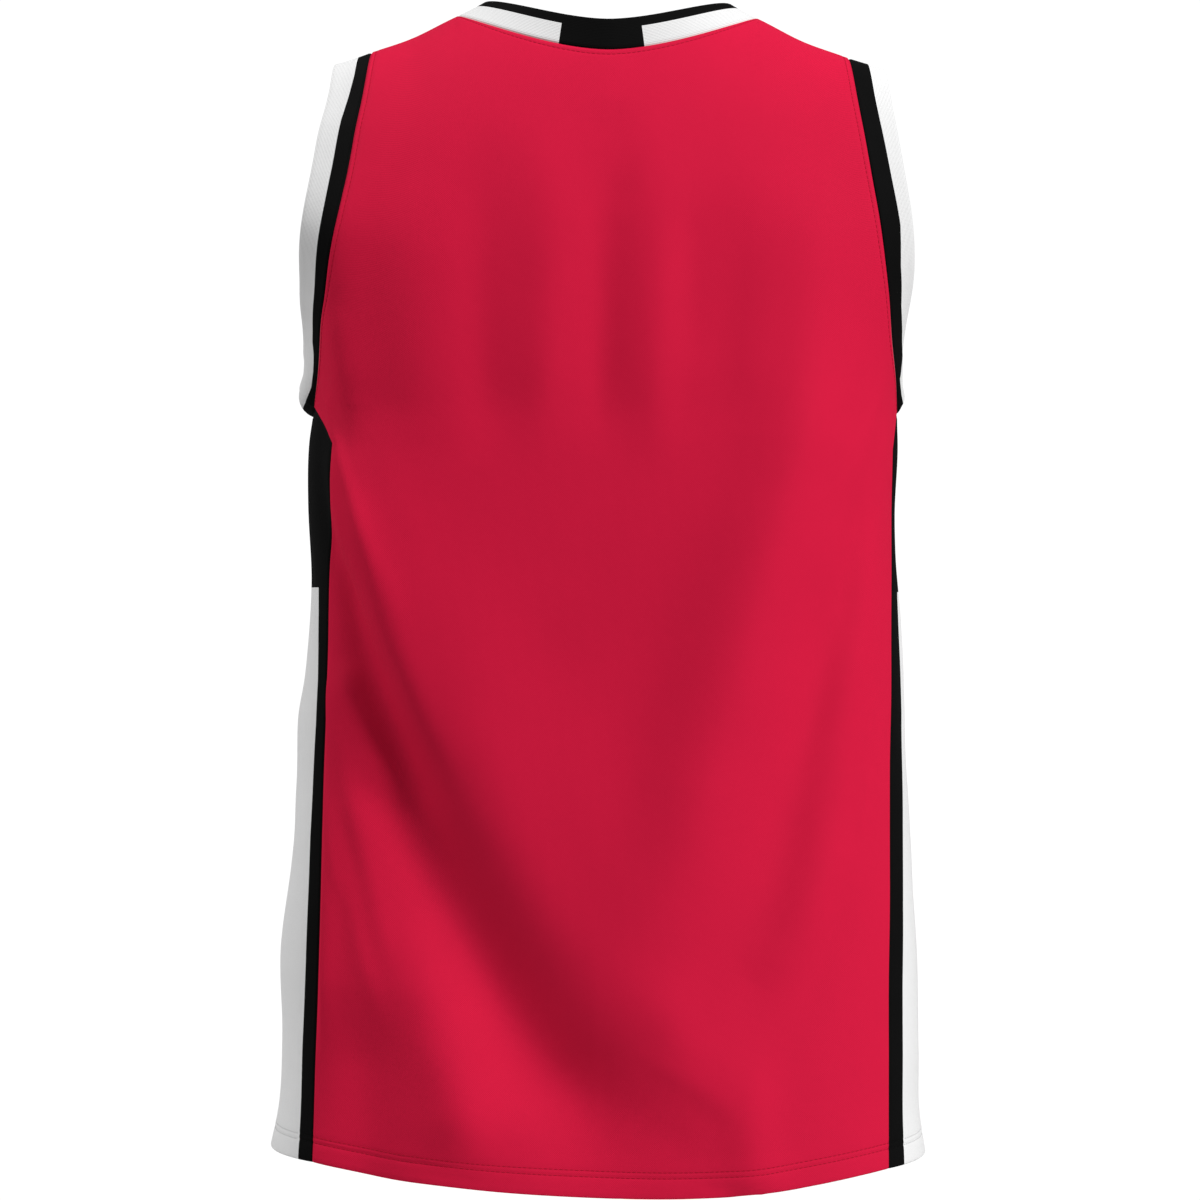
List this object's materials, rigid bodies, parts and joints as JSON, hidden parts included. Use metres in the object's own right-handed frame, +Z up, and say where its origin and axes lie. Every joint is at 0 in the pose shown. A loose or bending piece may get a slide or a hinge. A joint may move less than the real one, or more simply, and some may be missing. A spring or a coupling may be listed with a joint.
{
  "type": "basketball jersey",
  "caption": "Sleeveless knitted jersey with side panels, ribbed armhole bands and a ribbed neck band, filled out as if worn.",
  "frame": {"origin": "on the line over the shoulders, midway between the middles of the two shoulder seams", "axes": "+Z up, +Y towards the wearer's back, +X towards the wearer's left"},
  "size_m": [0.4173, 0.2623, 0.7492],
  "materials": {
    "panel_knit": "fine mesh knit with a soft sheen",
    "side_knit": "fine mesh knit, matt",
    "armhole_rib": "fine rib knit, black beside the body and white at the edge",
    "neck_rib": "fine rib knit, white with a black edge"
  },
  "bodies": {
    "root": {"back": "panel_knit", "front": "panel_knit", "side_left": "side_knit", "side_right": "side_knit", "armhole_band_left": "armhole_rib", "armhole_band_right": "armhole_rib", "neck_band": "neck_rib"}
  },
  "joints": []
}
